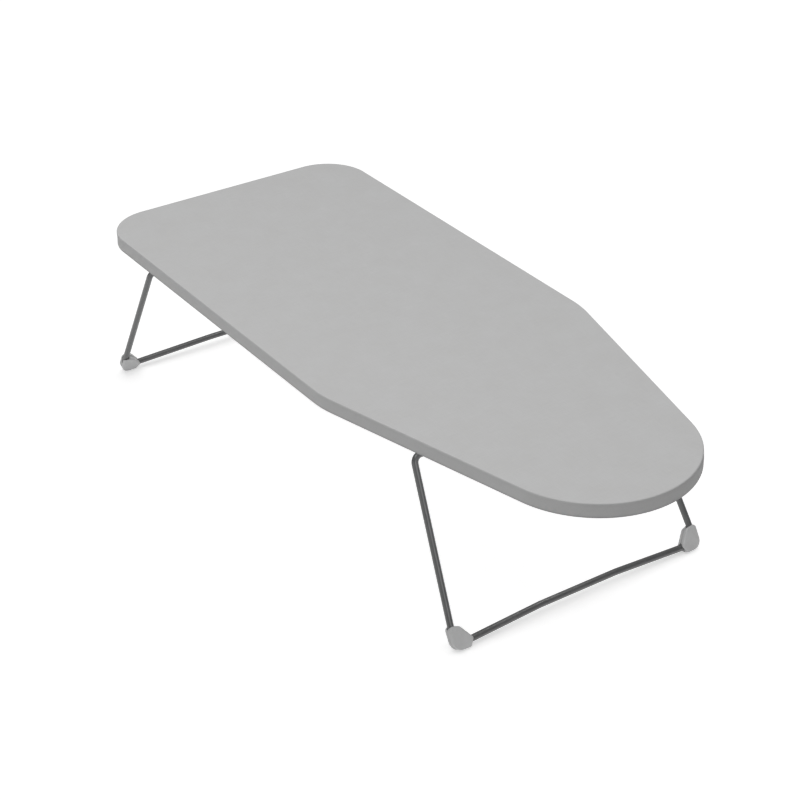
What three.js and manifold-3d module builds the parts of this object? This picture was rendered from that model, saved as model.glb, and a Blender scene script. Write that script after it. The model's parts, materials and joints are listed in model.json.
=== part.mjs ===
// A table-top ironing board: a cloth-covered steel deck on two wire legs that fold flat under it.
// Millimetres, +Z up, +X towards the nose, +Y to the board's left. The origin is on the table under
// the middle of the board.
import * as THREE from 'three';
import { mergeVertices } from 'three/addons/utils/BufferGeometryUtils.js';
import Module from 'manifold-3d';

const wasm = await Module();
wasm.setup();

// ---- driving dimensions ----
const GAP = 0.3;                 // between pieces that touch in the real object

const LENGTH = 730;              // board, over its cover
const WIDTH = 300;
const HEIGHT = 168.4;              // table to ironing surface
const BOARD_T = 14.7;            // covered thickness
const REAR_CORNER_R = 49;
const SHOULDER_X = 55;           // where the sides start to turn in
const SHOULDER_R = 108;
const NOSE_R = 96.5;

const CLOTH_T = 1;
const CLOTH_TOP_R = 1.2;         // how roundly the cloth turns over the rim, above and below
const CLOTH_UNDER_R = 0.9;
const PAD_T = 2.8;
const HEM_WIDTH = 27.5;          // cloth turned in under the rim
const HEM_CHANNEL = 3;           // height of the channel the elastic runs in
const ELASTIC_R = 1.2;
const ELASTIC_INSET = 25;

const SHEET_T = 0.95;            // steel of the rim, rails and spine
const RIM_T = 8.9;               // rim height
const RIM_FLANGE = 9;
const MESH_T = 1.2;
const MESH_PITCH_X = 72;
const MESH_PITCH_Y = 40;
const MESH_STRAND = 4.4;
const MESH_BORDER = 14;

const RAIL_WEB = 34;             // cross rails, hat section
const RAIL_FLANGE = 10;
const SPINE_WEB = 22;
const SPINE_FLANGE = 8;

const WIRE_R = 3;
const PIVOT_DROP = 18.1;         // pivot axis below the ironing surface
const DIP = 14;                  // the top bar's dip, which meets the stop tongue
const DIP_HALF = 30;
const DIP_RAMP = 16;
const FLOOR_ARCH = 3.65;         // rise of the floor bar's middle above the foot line
const FLOOR_SAG = 0.9;           // and its drop at the corners
const ARCH_HALF = 44;            // half of the arch's flat middle
const TOP_BEND_R = 8;
const FOOT_BEND_R = 10;

const FOOT_T = 9.4;
const FOOT_EDGE_R = 2;

const SADDLE_Y = 70;             // moulded saddles that hold the top bar
const SADDLE_L = 14;
const SADDLE_HALF = 16;
const EAR_T = 3.5;
const RIVET_AT = 11.5;
const RIVET_R = 1.6;

// Each leg: where its pivot is, how far it leans from upright, its length in its own plane from the
// pivot to the foot line, and half its width at the top and at the foot.
const LEGS = {
  front: { x: 177.4, out: 1, lean: 30.7, length: 168.7, topHalf: 123.6, footHalf: 139.5, folded: 1.7 },
  rear: { x: -264.2, out: -1, lean: 27.5, length: 162.5, topHalf: 145.1, footHalf: 149.8, folded: 1.5 },
};

// ---- levels, worked out downwards from the ironing surface ----
const PIVOT_Z = HEIGHT - PIVOT_DROP;
const UNDER = HEIGHT - BOARD_T;                        // underside of the hem and of the rails
const PAD_TOP = HEIGHT - CLOTH_T - GAP;
const RIM_TOP = PAD_TOP - PAD_T - GAP;
const RIM_BOTTOM = RIM_TOP - RIM_T;
const MESH_TOP = RIM_TOP - SHEET_T - GAP;
const MESH_BOTTOM = MESH_TOP - MESH_T;
const RAIL_TOP = MESH_BOTTOM - GAP;
const SEAT_Z = UNDER - GAP;                            // top of the saddles and catches
const RIM_INSET = CLOTH_T + GAP;

const rad = THREE.MathUtils.degToRad;

// ---- materials ----
const cloth = () => new THREE.MeshStandardMaterial({ color: 0xb9b9ba, roughness: 0.95, metalness: 0 });
const felt = () => new THREE.MeshStandardMaterial({ color: 0xd8d3c8, roughness: 1, metalness: 0 });
const elastic = () => new THREE.MeshStandardMaterial({ color: 0xe8e6e0, roughness: 0.8, metalness: 0 });
const deckSteel = () => new THREE.MeshStandardMaterial({ color: 0x4b4d50, roughness: 0.5, metalness: 0.6 });
const wireSteel = () => new THREE.MeshStandardMaterial({ color: 0x3a3b3d, roughness: 0.42, metalness: 0.5 });
const zinc = () => new THREE.MeshStandardMaterial({ color: 0xa9abad, roughness: 0.35, metalness: 1 });
const greyPlastic = () => new THREE.MeshStandardMaterial({ color: 0x9fa0a2, roughness: 0.55, metalness: 0 });
const blackPlastic = () => new THREE.MeshStandardMaterial({ color: 0x2b2c2e, roughness: 0.6, metalness: 0 });

// ---- solids ----
function solid(geometry) {
  const bare = geometry.clone();
  bare.deleteAttribute('normal');
  bare.deleteAttribute('uv');
  const merged = mergeVertices(bare, 1e-4);
  return new wasm.Manifold(new wasm.Mesh({
    numProp: 3,
    vertProperties: new Float32Array(merged.attributes.position.array),
    triVerts: new Uint32Array(merged.index.array),
  }));
}

function geometryOf(manifold) {
  const mesh = manifold.getMesh();
  const geometry = new THREE.BufferGeometry();
  geometry.setAttribute('position', new THREE.BufferAttribute(new Float32Array(mesh.vertProperties), 3));
  geometry.setIndex(new THREE.BufferAttribute(new Uint32Array(mesh.triVerts), 1));
  geometry.computeVertexNormals();
  return geometry;
}

function piece(name, shape, material) {
  const mesh = new THREE.Mesh(shape.isBufferGeometry ? shape : geometryOf(shape), material);
  mesh.name = name;
  return mesh;
}

function slab(shape, low, high) {
  const geometry = new THREE.ExtrudeGeometry(shape, { depth: high - low, bevelEnabled: false });
  return geometry.translate(0, 0, low);
}

function block(sx, sy, sz, x, y, z) {
  return new THREE.BoxGeometry(sx, sy, sz).translate(x, y, z);
}

// A flat profile drawn in X and Z, drawn out along Y from -half to half.
function bar(profile, half) {
  const geometry = new THREE.ExtrudeGeometry(new THREE.Shape(profile), { depth: 2 * half, bevelEnabled: false });
  return geometry.rotateX(Math.PI / 2).translate(0, half, 0);
}

function arc(cx, cy, r, from, to, step = 7.6) {
  const n = Math.max(1, Math.ceil(Math.abs(to - from) / step));
  return Array.from({ length: n + 1 }, (_, i) => {
    const a = rad(from + (to - from) * i / n);
    return new THREE.Vector2(cx + r * Math.cos(a), cy + r * Math.sin(a));
  });
}

// ---- the board's outline ----
// Square at the rear with round corners, parallel sides, then a straight taper into a round nose.
const NOSE_X = LENGTH / 2 - NOSE_R;
const TAPER = (() => {
  const dx = NOSE_X - SHOULDER_X;
  const dy = SHOULDER_R - WIDTH / 2;
  return THREE.MathUtils.radToDeg(Math.asin((SHOULDER_R - NOSE_R) / Math.hypot(dx, dy)) - Math.atan2(dy, dx));
})();

function outlinePoints(inset) {
  const rearX = -LENGTH / 2 + REAR_CORNER_R;
  const rearY = WIDTH / 2 - REAR_CORNER_R;
  const shoulderY = WIDTH / 2 - SHOULDER_R;
  return [
    new THREE.Vector2(-LENGTH / 2 + inset, 0),
    ...arc(rearX, -rearY, REAR_CORNER_R - inset, 180, 270),
    ...arc(SHOULDER_X, -shoulderY, SHOULDER_R - inset, 270, 270 + TAPER),
    ...arc(NOSE_X, 0, NOSE_R - inset, -90 + TAPER, 90 - TAPER),
    ...arc(SHOULDER_X, shoulderY, SHOULDER_R - inset, 90 - TAPER, 90),
    ...arc(rearX, rearY, REAR_CORNER_R - inset, 90, 180),
  ];
}

const outline = inset => new THREE.Shape(outlinePoints(inset));
const boardSlab = (inset, low, high) => solid(slab(outline(inset), low, high));

// ---- soft goods ----
// The cloth is a bag: the top, the side, and a hem turned in under the rim. The hem ends in a
// channel, open towards the rim, that holds the elastic.
function cover() {
  const waist = UNDER + BOARD_T / 2;
  const outside = [[CLOTH_TOP_R, 3, 1], [CLOTH_UNDER_R, 2, -1]].map(([r, bevelSegments, up]) => {
    const halfBag = solid(new THREE.ExtrudeGeometry(outline(0), {
      depth: BOARD_T, bevelEnabled: true, bevelThickness: r, bevelSize: r, bevelOffset: -r, bevelSegments,
    }).translate(0, 0, up > 0 ? HEIGHT - BOARD_T - r : UNDER + r));
    return halfBag.intersect(boardSlab(-1, up > 0 ? waist : UNDER - 1, up > 0 ? HEIGHT + 1 : waist));
  });
  const hemTop = UNDER + CLOTH_T;
  const returnLow = hemTop + HEM_CHANNEL;
  const inside = boardSlab(CLOTH_T, hemTop, HEIGHT - CLOTH_T);
  const mouth = boardSlab(HEM_WIDTH, UNDER - 1, hemTop + 1);
  const lip = boardSlab(HEM_WIDTH - CLOTH_T, UNDER + 0.5, returnLow + CLOTH_T)
    .subtract(boardSlab(HEM_WIDTH, UNDER, HEIGHT));
  const turnback = boardSlab(HEM_WIDTH - 6.5, returnLow, returnLow + CLOTH_T)
    .subtract(boardSlab(HEM_WIDTH, UNDER, HEIGHT));
  return outside[0].add(outside[1]).subtract(inside).subtract(mouth).add(lip).add(turnback);
}

// The elastic is one cord round the whole hem. Its ends meet in the seam at the rear.
class Stations extends THREE.Curve {
  // A curve through a list of stations: bars cost one step, bends as many as they need.
  constructor(points) {
    super();
    this.points = points;
  }
  station(u) {
    return Math.round(u * (this.points.length - 1));
  }
  getPointAt(u, target = new THREE.Vector3()) {
    return target.copy(this.points[this.station(u)]);
  }
  getTangentAt(u, target = new THREE.Vector3()) {
    const i = this.station(u);
    const p = this.points;
    const back = i > 0 ? p[i].clone().sub(p[i - 1]).normalize() : new THREE.Vector3();
    const on = i < p.length - 1 ? p[i + 1].clone().sub(p[i]).normalize() : new THREE.Vector3();
    return target.copy(back.add(on).normalize());
  }
}

function rod(points, r, sides = 12) {
  const section = new THREE.Shape(arc(0, 0, r, 0, 360, 360 / sides).slice(0, -1));
  return new THREE.ExtrudeGeometry(section, {
    steps: points.length - 1, extrudePath: new Stations(points), bevelEnabled: false,
  });
}

function hemElastic() {
  const z = UNDER + CLOTH_T + HEM_CHANNEL / 2;
  const round = outlinePoints(ELASTIC_INSET);
  const [rear] = round;
  const line = [new THREE.Vector2(rear.x, -GAP), ...round.slice(1), new THREE.Vector2(rear.x, GAP)];
  return rod(line.map(p => new THREE.Vector3(p.x, p.y, z)), ELASTIC_R, 8);
}

// ---- deck ----
// The rim is a channel rolled from strip, open inwards, and the mesh is held under its top flange.
function rimFrame() {
  return boardSlab(RIM_INSET, RIM_BOTTOM, RIM_TOP)
    .subtract(boardSlab(RIM_INSET + SHEET_T, RIM_BOTTOM + SHEET_T, RIM_TOP - SHEET_T))
    .subtract(boardSlab(RIM_INSET + RIM_FLANGE + 1, RIM_TOP - 2, RIM_TOP + 1))
    .subtract(boardSlab(RIM_INSET + RIM_FLANGE, RIM_BOTTOM - 1, RIM_BOTTOM + 2));
}

function insideOutline(point, polygon) {
  return polygon.every((a, i) => {
    const b = polygon[(i + 1) % polygon.length];
    return (b.x - a.x) * (point.y - a.y) - (b.y - a.y) * (point.x - a.x) >= 0;
  });
}

// Expanded steel: rows of diamonds, every other row set over by half a pitch.
function deckMesh() {
  const halfX = MESH_PITCH_X / 2;
  const halfY = MESH_PITCH_Y / 2;
  const toEdge = halfX * halfY / Math.hypot(halfX, halfY);
  const k = (toEdge - MESH_STRAND / 2) / toEdge;
  const plate = outline(RIM_INSET + SHEET_T + GAP);
  const field = outlinePoints(MESH_BORDER);
  for (let row = -9; row <= 9; row++) {
    for (let column = -6; column <= 6; column++) {
      const x = (column + (row % 2 ? 0.5 : 0)) * MESH_PITCH_X;
      const y = row * halfY;
      const diamond = [[-1, 0], [0, 1], [1, 0], [0, -1]]
        .map(([i, j]) => new THREE.Vector2(x + i * k * halfX, y + j * k * halfY));
      if (diamond.every(p => insideOutline(p, field))) plate.holes.push(new THREE.Path(diamond));
    }
  }
  return slab(plate, MESH_BOTTOM, MESH_TOP);
}

// A pressed hat section with its flanges up against the mesh, drawn in its own X and Z.
function hat(web, flange) {
  const w = web / 2;
  const t = SHEET_T;
  return [
    [-w, UNDER], [w, UNDER], [w, RAIL_TOP - t], [w + flange, RAIL_TOP - t], [w + flange, RAIL_TOP],
    [w - t, RAIL_TOP], [w - t, UNDER + t], [-w + t, UNDER + t], [-w + t, RAIL_TOP],
    [-w - flange, RAIL_TOP], [-w - flange, RAIL_TOP - t], [-w, RAIL_TOP - t],
  ].map(([x, z]) => new THREE.Vector2(x, z));
}

const rivetHole = (x, y) => solid(new THREE.CylinderGeometry(RIVET_R + GAP, RIVET_R + GAP, 30, 12)
  .rotateX(Math.PI / 2).translate(x, y, UNDER));

// A cross rail: its ends tuck into the rim, and a tongue cut from its web is bent down beside the
// leg's dip, as the stop that the open leg leans on.
function crossRail({ x, out, lean }) {
  const end = HEM_WIDTH + 2;
  const plate = block(RAIL_WEB + 2 * RAIL_FLANGE, WIDTH, SHEET_T, x, 0, RAIL_TOP - SHEET_T / 2);
  const ends = solid(plate).intersect(boardSlab(RIM_INSET + SHEET_T + GAP, UNDER, HEIGHT)
    .subtract(boardSlab(end + 4, UNDER - 1, HEIGHT + 1)));
  const channel = solid(bar(hat(RAIL_WEB, RAIL_FLANGE), WIDTH / 2).translate(x, 0, 0))
    .intersect(boardSlab(end, UNDER - 1, HEIGHT));
  const tongueLength = 21;
  const tongue = solid(block(2, 24, tongueLength, out * (WIRE_R + GAP + 1), 0, 3 - tongueLength / 2)
    .rotateY(-out * rad(lean)).translate(x, 0, PIVOT_Z))
    .intersect(solid(block(100, 100, 40, x, 0, UNDER + SHEET_T - 20)));
  const window = solid(block(14, 24.6, 4, x - out * 6.4, 0, UNDER));
  let rail = channel.add(ends).subtract(window).add(tongue);
  for (const side of [-1, 1]) {
    for (const along of [-1, 1]) rail = rail.subtract(rivetHole(x + along * RIVET_AT, side * SADDLE_Y));
  }
  return rail;
}

const FOLDED_BAR_X = Object.fromEntries(Object.entries(LEGS).map(([name, leg]) => [
  name, leg.x - leg.out * ((leg.length - FLOOR_ARCH) * Math.cos(rad(leg.folded)) - 0.2),
]));

// The spine joins the two cross rails under the mesh and carries the catches.
function spineRail() {
  const inset = RAIL_WEB / 2 + RAIL_FLANGE + GAP;
  const from = LEGS.rear.x + inset;
  const to = LEGS.front.x - inset;
  let rail = solid(bar(hat(SPINE_WEB, SPINE_FLANGE), (to - from) / 2)
    .rotateZ(Math.PI / 2).translate((from + to) / 2, 0, 0));
  for (const x of Object.values(FOLDED_BAR_X)) {
    for (const along of [-1, 1]) rail = rail.subtract(rivetHole(x + along * RIVET_AT, 0));
  }
  return rail;
}

// ---- fittings ----
// A saddle holds the leg's top bar against the rail: two riveted ears and a hump with a round groove.
function saddle() {
  const h = SADDLE_HALF;
  const g = WIRE_R + 0.15;
  const hump = 6.6;
  const axis = PIVOT_Z;
  const ear = SEAT_Z - EAR_T;
  const at = (SEAT_Z - EAR_T - axis) / hump;
  const from = 180 - THREE.MathUtils.radToDeg(Math.asin(at));
  const profile = [
    new THREE.Vector2(-h, SEAT_Z), new THREE.Vector2(-h, ear),
    ...arc(0, axis, hump, from, 540 - from, 20),
    new THREE.Vector2(h, ear), new THREE.Vector2(h, SEAT_Z),
    new THREE.Vector2(g, SEAT_Z), ...arc(0, axis, g, 0, -180, 20), new THREE.Vector2(-g, SEAT_Z),
  ];
  let part = solid(bar(profile, SADDLE_L / 2));
  for (const along of [-1, 1]) part = part.subtract(rivetHole(along * RIVET_AT, 0));
  return part;
}

// A catch holds the folded leg's floor bar between two springy prongs.
function legCatch() {
  const h = SADDLE_HALF;
  const ear = SEAT_Z - EAR_T;
  const tip = PIVOT_Z - 9.5;
  const half = WIRE_R + 0.6;
  const prong = half + 2.2;
  const profile = [
    [-h, SEAT_Z], [-h, ear], [-prong - 1, ear], [-prong, ear - 1.5], [-prong, tip], [-half - 1, tip],
    [-half, tip + 1.5], [-half, ear], [half, ear], [half, tip + 1.5], [half + 1, tip],
    [prong, tip], [prong, ear - 1.5], [prong + 1, ear], [h, ear], [h, SEAT_Z],
  ].map(([x, z]) => new THREE.Vector2(x, z));
  let part = solid(bar(profile, 6));
  for (const along of [-1, 1]) part = part.subtract(rivetHole(along * RIVET_AT, 0));
  return part;
}

// A rivet through an ear and the rail's web: domed head below, closed end above.
function rivet() {
  const head = SEAT_Z - EAR_T - GAP;
  const closed = UNDER + SHEET_T + GAP;
  const profile = [
    [0, head - 1.5], [2, head - 1.2], [3.2, head - 0.4], [3.2, head], [RIVET_R, head],
    [RIVET_R, closed], [2.4, closed], [2.2, closed + 1.1], [0, closed + 1.1],
  ].map(([x, y]) => new THREE.Vector2(x, y));
  return new THREE.LatheGeometry(profile, 10).rotateX(Math.PI / 2);
}

// ---- legs, drawn in their own plane: Y across, -Z from the pivot towards the table ----
// The arc that rounds one corner of a run of straight lines.
function fillet(before, here, after, r, step) {
  const back = before.clone().sub(here).normalize();
  const on = after.clone().sub(here).normalize();
  const turn = Math.PI - Math.acos(THREE.MathUtils.clamp(back.dot(on), -1, 1));
  const side = Math.sign(back.y * on.x - back.x * on.y);
  const centre = here.clone().addScaledVector(back.clone().add(on).normalize(), r / Math.cos(turn / 2));
  const start = here.clone().addScaledVector(back, r * Math.tan(turn / 2)).sub(centre);
  const n = Math.max(2, Math.ceil(THREE.MathUtils.radToDeg(turn) / step));
  return Array.from({ length: n + 1 }, (_, i) =>
    start.clone().rotateAround(new THREE.Vector2(), side * turn * i / n).add(centre));
}

// An open run of bars with its corners rounded, each [y, z, bend radius].
function bent(corners, step = 18) {
  const at = corners.map(([y, z]) => new THREE.Vector2(y, z));
  return corners
    .flatMap(([, , r], i) => (r ? fillet(at[i - 1], at[i], at[i + 1], r, step) : [at[i]]))
    .map(p => new THREE.Vector3(0, p.x, p.y));
}

// A closed polygon with its corners rounded, each [x, y, radius].
function rounded(corners, step = 20) {
  const n = corners.length;
  const at = corners.map(([x, y]) => new THREE.Vector2(x, y));
  return corners.flatMap(([, , r], i) => fillet(at[(i + n - 1) % n], at[i], at[(i + 1) % n], r, step));
}

// Half of the closed wire loop, from the middle of the top bar to the middle of the floor bar.
function halfLoop({ length, topHalf, footHalf }) {
  return bent([
    [0, -DIP],
    [DIP_HALF, -DIP, TOP_BEND_R],
    [DIP_HALF + DIP_RAMP, 0, TOP_BEND_R],
    [topHalf, 0, TOP_BEND_R],
    [footHalf, -length - FLOOR_SAG, FOOT_BEND_R],
    [ARCH_HALF, -length + FLOOR_ARCH, 60],
    [0, -length + FLOOR_ARCH],
  ]);
}

function wireLoop(leg, r = WIRE_R) {
  const half = solid(rod(halfLoop(leg), r));
  return half.add(half.mirror([0, 1, 0]));
}

// A foot is a block round the wire's corner, long and square where it stands and cut away on a slant
// towards the floor bar. It is two shells that meet in the leg's plane, cut level where they stand.
function foot(leg, side) {
  const outlineOfFoot = rounded([
    [2.8, 18.4, 3.9], [-8.6, 15, 3.7], [-19, 1.1, 2.5], [-14, -6.2, 2.5], [3.1, -5.4, 9.2],
  ]);
  const e = FOOT_EDGE_R;
  const body = new THREE.ExtrudeGeometry(new THREE.Shape(outlineOfFoot), {
    depth: FOOT_T - 2 * e, bevelEnabled: true, bevelThickness: e, bevelSize: e, bevelOffset: -e, bevelSegments: 2,
  }).translate(0, 0, -FOOT_T / 2 + e);
  // Drawn in X and Y: lay it into the leg's plane, on its own side.
  body.rotateX(Math.PI / 2).rotateZ(Math.PI / 2).translate(0, leg.footHalf, -leg.length);
  const whole = side > 0 ? solid(body) : solid(body).mirror([0, 1, 0]);
  const table = solid(block(200, 400, 60, 0, 0, -PIVOT_Z - 30).rotateY(rad(leg.lean)));
  return whole.subtract(wireLoop(leg, WIRE_R + GAP)).subtract(table);
}

function footShell(leg, side, face) {
  return foot(leg, side).intersect(solid(block(20, 400, 400, face * (10 + GAP / 2), 0, -150)));
}

// ---- the whole board ----
const group = new THREE.Group();

group.add(piece('cover', cover(), cloth()));
group.add(piece('felt_pad', slab(outline(RIM_INSET), PAD_TOP - PAD_T, PAD_TOP), felt()));
group.add(piece('hem_elastic', hemElastic(), elastic()));
group.add(piece('deck_mesh', deckMesh(), deckSteel()));
group.add(piece('rim_frame', rimFrame(), deckSteel()));
group.add(piece('spine_rail', spineRail(), deckSteel()));

for (const [name, leg] of Object.entries(LEGS)) {
  group.add(piece(`${name}_cross_rail`, crossRail(leg), deckSteel()));

  for (const side of [-1, 1]) {
    // Left is +Y, seen from the rear towards the nose.
    const hand = side > 0 ? 'left' : 'right';
    const seat = new THREE.Group();
    seat.position.set(leg.x, side * SADDLE_Y, 0);
    seat.add(piece(`${name}_${hand}_saddle`, saddle(), blackPlastic()));
    for (const along of [-1, 1]) {
      const stud = piece(`${name}_${hand}_saddle_rivet_${along < 0 ? 'a' : 'b'}`, rivet(), zinc());
      stud.position.x = along * RIVET_AT;
      seat.add(stud);
    }
    group.add(seat);
  }

  const hook = new THREE.Group();
  hook.position.x = FOLDED_BAR_X[name];
  hook.add(piece(`${name}_leg_catch`, legCatch(), blackPlastic()));
  for (const along of [-1, 1]) {
    const stud = piece(`${name}_leg_catch_rivet_${along < 0 ? 'a' : 'b'}`, rivet(), zinc());
    stud.position.x = along * RIVET_AT;
    hook.add(stud);
  }
  group.add(hook);

  // The leg hangs from its pivot and leans away from the board's middle.
  const swing = new THREE.Group();
  swing.position.set(leg.x, 0, PIVOT_Z);
  swing.rotation.set(0, -leg.out * rad(leg.lean), 0);
  const facing = new THREE.Group();
  facing.rotation.z = leg.out > 0 ? 0 : Math.PI;
  facing.add(piece(`${name}_leg_wire`, wireLoop(leg), wireSteel()));
  for (const side of [-1, 1]) {
    const hand = side * leg.out > 0 ? 'left' : 'right';
    for (const [face, sign] of [['outer', 1], ['inner', -1]]) {
      facing.add(piece(`${name}_${hand}_foot_${face}_shell`, footShell(leg, side, sign), greyPlastic()));
    }
  }
  swing.add(facing);
  group.add(swing);
}

export default group;
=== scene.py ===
"""A table-top ironing board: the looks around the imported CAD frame.

Metres in Blender, +Z up, +X towards the nose, +Y to the board's left. Shapes are worked out in
millimetres, with the CAD model's own dimensions, and scaled as each mesh is made.
"""
import json
import math

import bmesh
import bpy
import numpy as np
from mathutils import Matrix, Vector

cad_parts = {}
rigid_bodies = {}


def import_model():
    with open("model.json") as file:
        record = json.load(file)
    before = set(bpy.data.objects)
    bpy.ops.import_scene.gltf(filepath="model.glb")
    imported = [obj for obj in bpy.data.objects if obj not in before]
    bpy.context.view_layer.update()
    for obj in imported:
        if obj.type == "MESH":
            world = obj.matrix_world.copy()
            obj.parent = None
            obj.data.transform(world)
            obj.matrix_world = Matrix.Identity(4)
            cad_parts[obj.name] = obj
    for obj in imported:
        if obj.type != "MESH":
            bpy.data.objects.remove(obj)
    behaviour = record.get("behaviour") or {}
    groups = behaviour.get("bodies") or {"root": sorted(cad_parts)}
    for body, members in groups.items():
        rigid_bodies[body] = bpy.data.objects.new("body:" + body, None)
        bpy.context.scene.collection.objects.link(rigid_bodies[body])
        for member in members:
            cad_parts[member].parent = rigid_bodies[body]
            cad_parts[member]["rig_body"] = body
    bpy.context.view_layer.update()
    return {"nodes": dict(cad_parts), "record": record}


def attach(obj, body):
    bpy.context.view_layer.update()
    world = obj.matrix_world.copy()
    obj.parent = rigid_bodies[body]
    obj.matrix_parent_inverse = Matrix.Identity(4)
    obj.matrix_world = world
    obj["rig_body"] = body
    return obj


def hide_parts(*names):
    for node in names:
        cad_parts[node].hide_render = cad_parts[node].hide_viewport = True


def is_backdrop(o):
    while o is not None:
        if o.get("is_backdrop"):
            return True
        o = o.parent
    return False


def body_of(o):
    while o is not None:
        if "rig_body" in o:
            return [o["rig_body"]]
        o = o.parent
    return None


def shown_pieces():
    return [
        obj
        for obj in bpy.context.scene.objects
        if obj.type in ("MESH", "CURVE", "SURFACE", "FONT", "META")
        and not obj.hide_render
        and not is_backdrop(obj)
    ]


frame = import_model()
scene = bpy.context.scene
rng = np.random.default_rng(7)
MM = 0.001

# ---- the CAD model's dimensions, in millimetres ----
LENGTH, WIDTH, HEIGHT, BOARD_T = 730, 300, 168.4, 14.7
REAR_CORNER_R, SHOULDER_X, SHOULDER_R, NOSE_R = 49, 55, 108, 96.5
UNDER = HEIGHT - BOARD_T
PAD_TOP, PAD_T = HEIGHT - 1.3, 2.8
RIM_INSET = 1.3
MESH_TOP, MESH_T = HEIGHT - 5.65, 1.2
STITCH_INSET, ELASTIC_INSET = 20.5, 25
WIRE_R, COAT, PIVOT_Z = 3, 0.12, HEIGHT - 18.1
DIP, DIP_HALF, DIP_RAMP, TOP_BEND_R = 14, 30, 16, 8
FLOOR_ARCH, FLOOR_SAG, ARCH_HALF, ARCH_BEND_R, FOOT_BEND_R = 3.65, 0.9, 44, 60, 10
# How far the weld in the middle of the top bar stands proud, and half of its width.
WELD_RISE, WELD_HALF = 0.16, 1.6
FOOT_T, FOOT_EDGE_R, FOOT_STEP, PARTING, CHANNEL_HALF = 9.4, 1.5, 1.5, 0.15, 0.85
HOLE_GAP, HOLE_FLARE, HOLE_REACH, HOLE_BEND_REACH = 0.42, 0.35, 45, 16
FOOT_CORNERS = [(2.8, 18.4, 3.9), (-8.6, 15, 3.7), (-19, 1.1, 2.5), (-14, -6.2, 2.5), (3.1, -5.4, 9.2)]
LEGS = {
    "front": dict(x=177.4, out=1, lean=30.7, length=168.7, top=123.6, foot=139.5),
    "rear": dict(x=-264.2, out=-1, lean=27.5, length=162.5, top=145.1, foot=149.8),
}

# ---- camera and studio ----
AZIMUTH, ELEVATION, ROLL = 55.84, 30.81, -0.28
AIM = Vector((0.1165, -0.0961, 0.1684))
DISTANCE, LENS = 1.787, 89.8
AMBIENT, SOFTBOX, FLOOR_LIGHT, FLOOR_GLOW, FLOOR_HALF = 0.08, 158, 2.0, 0.47, 6000
# Watts of each leg's four lamps, as the camera sees them: above, left, in front, and a small one behind.
LEG_LAMPS = {"front": (56, 5, 9.4, 6), "rear": (95, 6, 4, 9)}


def camera():
    """The photograph's viewing angle, aimed at a point on the ironing surface."""
    data = bpy.data.cameras.new("camera")
    data.lens, data.sensor_width, data.clip_end = LENS, 36, 20
    obj = bpy.data.objects.new("camera", data)
    scene.collection.objects.link(obj)
    a, e = math.radians(AZIMUTH), math.radians(ELEVATION)
    away = Vector((math.sin(a) * math.cos(e), -math.cos(a) * math.cos(e), math.sin(e)))
    turn = away.to_track_quat("Z", "Y") @ Matrix.Rotation(math.radians(ROLL), 3, "Z").to_quaternion()
    obj.matrix_world = Matrix.Translation(AIM + DISTANCE * away) @ turn.to_matrix().to_4x4()
    scene.camera = obj


def collection(name, objects):
    made = bpy.data.collections.new(name)
    for obj in objects:
        made.objects.link(obj)
    return made


def lamp(name, kind, energy, direction, receivers, blockers=None, **settings):
    """A light that shines that way on the receivers. Where blockers are named, only they cast its shadow."""
    data = bpy.data.lights.new(name, kind)
    data.energy = energy
    for key, value in settings.items():
        setattr(data, key, value)
    obj = bpy.data.objects.new(name, data)
    scene.collection.objects.link(obj)
    way = Vector(direction)
    obj.location = Vector((0, 0, 0.1)) - way
    obj.rotation_euler = way.to_track_quat("-Z", "Y").to_euler()
    obj.light_linking.receiver_collection = collection(name + "_on", receivers)
    if blockers:
        obj.light_linking.blocker_collection = collection(name + "_shadows", blockers)


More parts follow.
